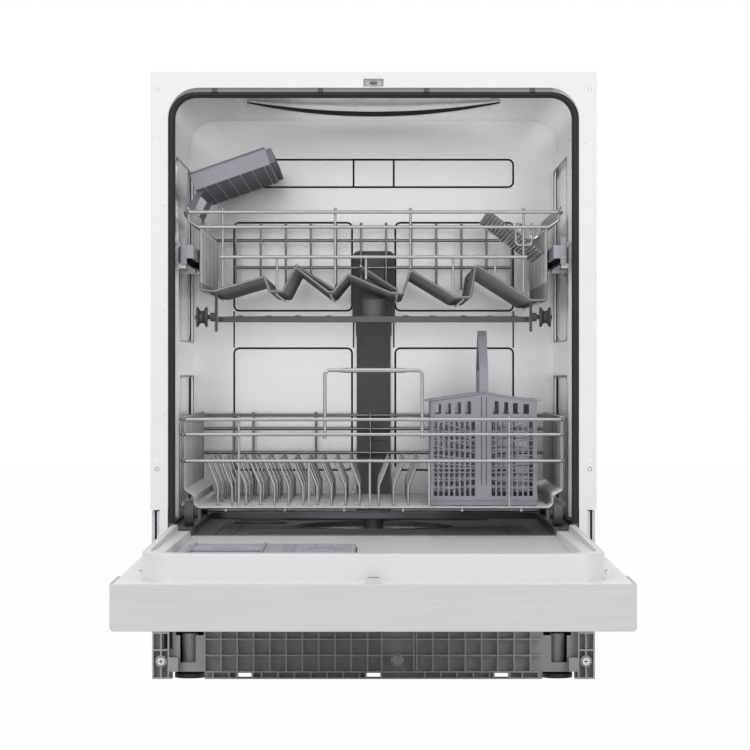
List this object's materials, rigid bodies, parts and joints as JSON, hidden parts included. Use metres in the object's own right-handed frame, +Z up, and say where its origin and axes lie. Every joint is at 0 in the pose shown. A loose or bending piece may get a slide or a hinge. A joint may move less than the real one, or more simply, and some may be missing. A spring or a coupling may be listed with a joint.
{
  "type": "semi-integrated dishwasher",
  "caption": "Semi-integrated dishwasher with a drop-down door, a steel fascia, two sliding baskets, spray arms, a dispenser and a ribbed plastic base on levelling feet.",
  "frame": {"origin": "middle of the base of the machine with its door open, on the floor plane", "axes": "+X to the machine's right seen from the front, +Y from the door to the rear, +Z up"},
  "size_m": [0.598, 1.183, 0.818],
  "materials": {
    "tub_shell": "satin stainless sheet",
    "front_frame": "white powder coat",
    "frame_fittings": "galvanised steel",
    "door_seal": "black rubber",
    "tub_floor": "dark grey plastic",
    "sump": "dark grey plastic",
    "filter_plate": "perforated stainless sheet",
    "softener_unit": "pale plastic",
    "water_duct": "dark grey plastic",
    "insulation": "bitumen felt",
    "side_panels": "galvanised sheet",
    "rear_panel": "galvanised sheet",
    "pumps": "moulded plastic",
    "inlet_valve": "white plastic",
    "door_springs": "spring steel",
    "hinge_brackets": "galvanised steel",
    "base_tray": "grey ribbed plastic",
    "base_hardware": "zinc plated steel",
    "filter_cup": "grey plastic",
    "salt_cap": "grey plastic",
    "lower_spray_arm": "grey plastic",
    "runners": "stainless channel",
    "front_feet": "black plastic",
    "rear_foot": "black plastic",
    "door_liner": "satin stainless sheet",
    "door_skin": "galvanised pan",
    "fascia_shell": "brushed stainless sheet",
    "grip_pocket": "black plastic",
    "display_window": "smoked window",
    "control_board": "green board",
    "hinge_arms": "galvanised steel",
    "door_latch": "dark plastic",
    "dispenser_housing": "grey plastic",
    "dispenser_lid": "grey plastic",
    "rinse_cap": "grey plastic",
    "power_button": "bright metal",
    "program_button": "bright metal",
    "delay_button": "bright metal",
    "start_button": "bright metal",
    "upper_frame": "grey coated wire",
    "upper_floor": "grey coated wire",
    "side_housings": "dark grey plastic",
    "feed_tube": "dark grey plastic",
    "upper_spray_arm": "grey plastic",
    "cup_shelf": "grey violet plastic",
    "wire_rack": "grey coated wire",
    "tines_left": "grey coated wire",
    "tines_right": "grey coated wire",
    "height_levers": "grey violet plastic",
    "rollers_front": "grey plastic",
    "rollers_rear": "grey plastic",
    "spare_rollers": "dark grey plastic",
    "lower_frame": "grey coated wire",
    "plate_tines": "grey coated wire",
    "wheel_carriers": "grey plastic",
    "wheels_front": "grey plastic",
    "wheels_rear": "grey plastic",
    "cutlery_basket": "grey violet plastic",
    "cutlery_lid_left": "grey violet plastic",
    "cutlery_lid_right": "grey violet plastic"
  },
  "bodies": {
    "cabinet": {"tub_shell": "tub_shell", "front_frame": "front_frame", "frame_fittings": "frame_fittings", "door_seal": "door_seal", "tub_floor": "tub_floor", "sump": "sump", "filter_plate": "filter_plate", "softener_unit": "softener_unit", "water_duct": "water_duct", "insulation": "insulation", "side_panels": "side_panels", "rear_panel": "rear_panel", "pumps": "pumps", "inlet_valve": "inlet_valve", "door_springs": "door_springs", "hinge_brackets": "hinge_brackets", "base_tray": "base_tray", "base_hardware": "base_hardware"},
    "filter_cup": {"filter_cup": "filter_cup"},
    "salt_cap": {"salt_cap": "salt_cap"},
    "lower_spray_arm": {"lower_spray_arm": "lower_spray_arm"},
    "runners": {"runners": "runners"},
    "front_feet": {"front_feet": "front_feet"},
    "rear_foot": {"rear_foot": "rear_foot"},
    "door": {"door_liner": "door_liner", "door_skin": "door_skin", "fascia_shell": "fascia_shell", "grip_pocket": "grip_pocket", "display_window": "display_window", "control_board": "control_board", "hinge_arms": "hinge_arms", "door_latch": "door_latch", "dispenser_housing": "dispenser_housing"},
    "dispenser_lid": {"dispenser_lid": "dispenser_lid"},
    "rinse_cap": {"rinse_cap": "rinse_cap"},
    "power_button": {"power_button": "power_button"},
    "program_button": {"program_button": "program_button"},
    "delay_button": {"delay_button": "delay_button"},
    "start_button": {"start_button": "start_button"},
    "upper_basket": {"upper_frame": "upper_frame", "upper_floor": "upper_floor", "side_housings": "side_housings", "feed_tube": "feed_tube"},
    "upper_spray_arm": {"upper_spray_arm": "upper_spray_arm"},
    "cup_shelf": {"cup_shelf": "cup_shelf"},
    "wire_rack": {"wire_rack": "wire_rack"},
    "tines_left": {"tines_left": "tines_left"},
    "tines_right": {"tines_right": "tines_right"},
    "height_levers": {"height_levers": "height_levers"},
    "rollers_front": {"rollers_front": "rollers_front"},
    "rollers_rear": {"rollers_rear": "rollers_rear"},
    "spare_rollers": {"spare_rollers": "spare_rollers"},
    "lower_basket": {"lower_frame": "lower_frame", "plate_tines": "plate_tines", "wheel_carriers": "wheel_carriers"},
    "wheels_front": {"wheels_front": "wheels_front"},
    "wheels_rear": {"wheels_rear": "wheels_rear"},
    "cutlery_basket": {"cutlery_basket": "cutlery_basket"},
    "cutlery_lid_left": {"cutlery_lid_left": "cutlery_lid_left"},
    "cutlery_lid_right": {"cutlery_lid_right": "cutlery_lid_right"}
  },
  "joints": [
    {"name": "door_hinge", "type": "hinge", "parent": "cabinet", "child": "door", "pos_m": [0, 0.03823, 0.1822], "axis": [-1, 0, 0], "range_deg": [0, 90.7]},
    {"name": "power_press", "type": "slide", "parent": "door", "child": "power_button", "axis": [0, -0.0122, 0.9999], "range_m": [0, 0.0012], "stiffness_N_per_m": 400, "springref_m": -0.001},
    {"name": "program_press", "type": "slide", "parent": "door", "child": "program_button", "axis": [0, -0.0122, 0.9999], "range_m": [0, 0.0012], "stiffness_N_per_m": 400, "springref_m": -0.001},
    {"name": "delay_press", "type": "slide", "parent": "door", "child": "delay_button", "axis": [0, -0.0122, 0.9999], "range_m": [0, 0.0012], "stiffness_N_per_m": 400, "springref_m": -0.001},
    {"name": "start_press", "type": "slide", "parent": "door", "child": "start_button", "axis": [0, -0.0122, 0.9999], "range_m": [0, 0.0012], "stiffness_N_per_m": 400, "springref_m": -0.001},
    {"name": "dispenser_lid_slide", "type": "slide", "parent": "door", "child": "dispenser_lid", "axis": [0, 0.9999, 0.0122], "range_m": [0, 0.058]},
    {"name": "rinse_cap_turn", "type": "hinge", "parent": "door", "child": "rinse_cap", "pos_m": [-0.062, -0.27973, 0.19362], "axis": [0, -0.0122, 0.9999], "range_deg": [0, 90]},
    {"name": "upper_basket_slide", "type": "slide", "parent": "cabinet", "child": "upper_basket", "axis": [0, 1, 0], "range_m": [-0.4, 0]},
    {"name": "runner_slide", "type": "slide", "parent": "cabinet", "child": "runners", "axis": [0, 1, 0], "range_m": [-0.2, 0]},
    {"name": "roller_front_turn", "type": "hinge", "parent": "upper_basket", "child": "rollers_front", "pos_m": [0, 0.30853, 0.575], "axis": [1, 0, 0], "range_deg": [0, 1041.74]},
    {"name": "roller_rear_turn", "type": "hinge", "parent": "upper_basket", "child": "rollers_rear", "pos_m": [0, 0.47353, 0.575], "axis": [1, 0, 0], "range_deg": [0, 1041.74]},
    {"name": "upper_arm_turn", "type": "hinge", "parent": "upper_basket", "child": "upper_spray_arm", "pos_m": [0, 0.30153, 0.487], "axis": [0, 0, 1], "continuous": true},
    {"name": "cup_shelf_tilt", "type": "hinge", "parent": "upper_basket", "child": "cup_shelf", "pos_m": [-0.255, 0.27153, 0.6324], "axis": [0, -1, 0], "range_deg": [-19, 24]},
    {"name": "wire_rack_fold", "type": "hinge", "parent": "upper_basket", "child": "wire_rack", "pos_m": [0.2303, 0.27153, 0.58], "axis": [0, 1, 0], "range_deg": [-37, 38]},
    {"name": "tines_left_fold", "type": "hinge", "parent": "upper_basket", "child": "tines_left", "pos_m": [-0.057, 0.27153, 0.5305], "axis": [0, 1, 0], "range_deg": [0, 57]},
    {"name": "tines_right_fold", "type": "hinge", "parent": "upper_basket", "child": "tines_right", "pos_m": [0.031, 0.27153, 0.5295], "axis": [0, 1, 0], "range_deg": [0, 57]},
    {"name": "height_lever_lift", "type": "hinge", "parent": "upper_basket", "child": "height_levers", "pos_m": [0, 0.24153, 0.578], "axis": [-1, 0, 0], "range_deg": [0, 8]},
    {"name": "spare_roller_turn", "type": "hinge", "parent": "upper_basket", "child": "spare_rollers", "pos_m": [0, 0.12151, 0.491], "axis": [1, 0, 0], "continuous": true},
    {"name": "lower_basket_slide", "type": "slide", "parent": "cabinet", "child": "lower_basket", "axis": [0, 1, 0], "range_m": [-0.4, 0]},
    {"name": "wheel_front_turn", "type": "hinge", "parent": "lower_basket", "child": "wheels_front", "pos_m": [0, 0.12653, 0.2223], "axis": [1, 0, 0], "range_deg": [0, 1348.14]},
    {"name": "wheel_rear_turn", "type": "hinge", "parent": "lower_basket", "child": "wheels_rear", "pos_m": [0, 0.47153, 0.2223], "axis": [1, 0, 0], "range_deg": [0, 1348.14]},
    {"name": "cutlery_lift", "type": "slide", "parent": "lower_basket", "child": "cutlery_basket", "axis": [0, 0, 1], "range_m": [0, 0.012]},
    {"name": "cutlery_lid_left_open", "type": "hinge", "parent": "cutlery_basket", "child": "cutlery_lid_left", "pos_m": [0.1428, 0.17653, 0.38638], "axis": [0, 1, 0], "range_deg": [0, 90]},
    {"name": "cutlery_lid_right_open", "type": "hinge", "parent": "cutlery_basket", "child": "cutlery_lid_right", "pos_m": [0.1576, 0.17653, 0.38638], "axis": [0, -1, 0], "range_deg": [0, 90]},
    {"name": "filter_cup_turn", "type": "hinge", "parent": "cabinet", "child": "filter_cup", "pos_m": [0.058, 0.26753, 0.19], "axis": [0, 0, 1], "range_deg": [0, 90]},
    {"name": "salt_cap_turn", "type": "hinge", "parent": "cabinet", "child": "salt_cap", "pos_m": [-0.165, 0.39153, 0.196], "axis": [0, 0, 1], "range_deg": [0, 360]},
    {"name": "lower_arm_turn", "type": "hinge", "parent": "cabinet", "child": "lower_spray_arm", "pos_m": [0, 0.30153, 0.212], "axis": [0, 0, 1], "continuous": true},
    {"name": "front_feet_reach", "type": "slide", "parent": "cabinet", "child": "front_feet", "axis": [0, 0, -1], "range_m": [0, 0.05]},
    {"name": "rear_foot_reach", "type": "slide", "parent": "cabinet", "child": "rear_foot", "axis": [0, 0, -1], "range_m": [0, 0.05]}
  ],
  "couplings": [
    {"joint": "runner_slide", "follows": "upper_basket_slide", "ratio": 0.5},
    {"joint": "roller_front_turn", "follows": "upper_basket_slide", "rad_per_m": -45.455},
    {"joint": "roller_rear_turn", "follows": "upper_basket_slide", "rad_per_m": -45.455},
    {"joint": "wheel_front_turn", "follows": "lower_basket_slide", "rad_per_m": -58.824},
    {"joint": "wheel_rear_turn", "follows": "lower_basket_slide", "rad_per_m": -58.824}
  ]
}
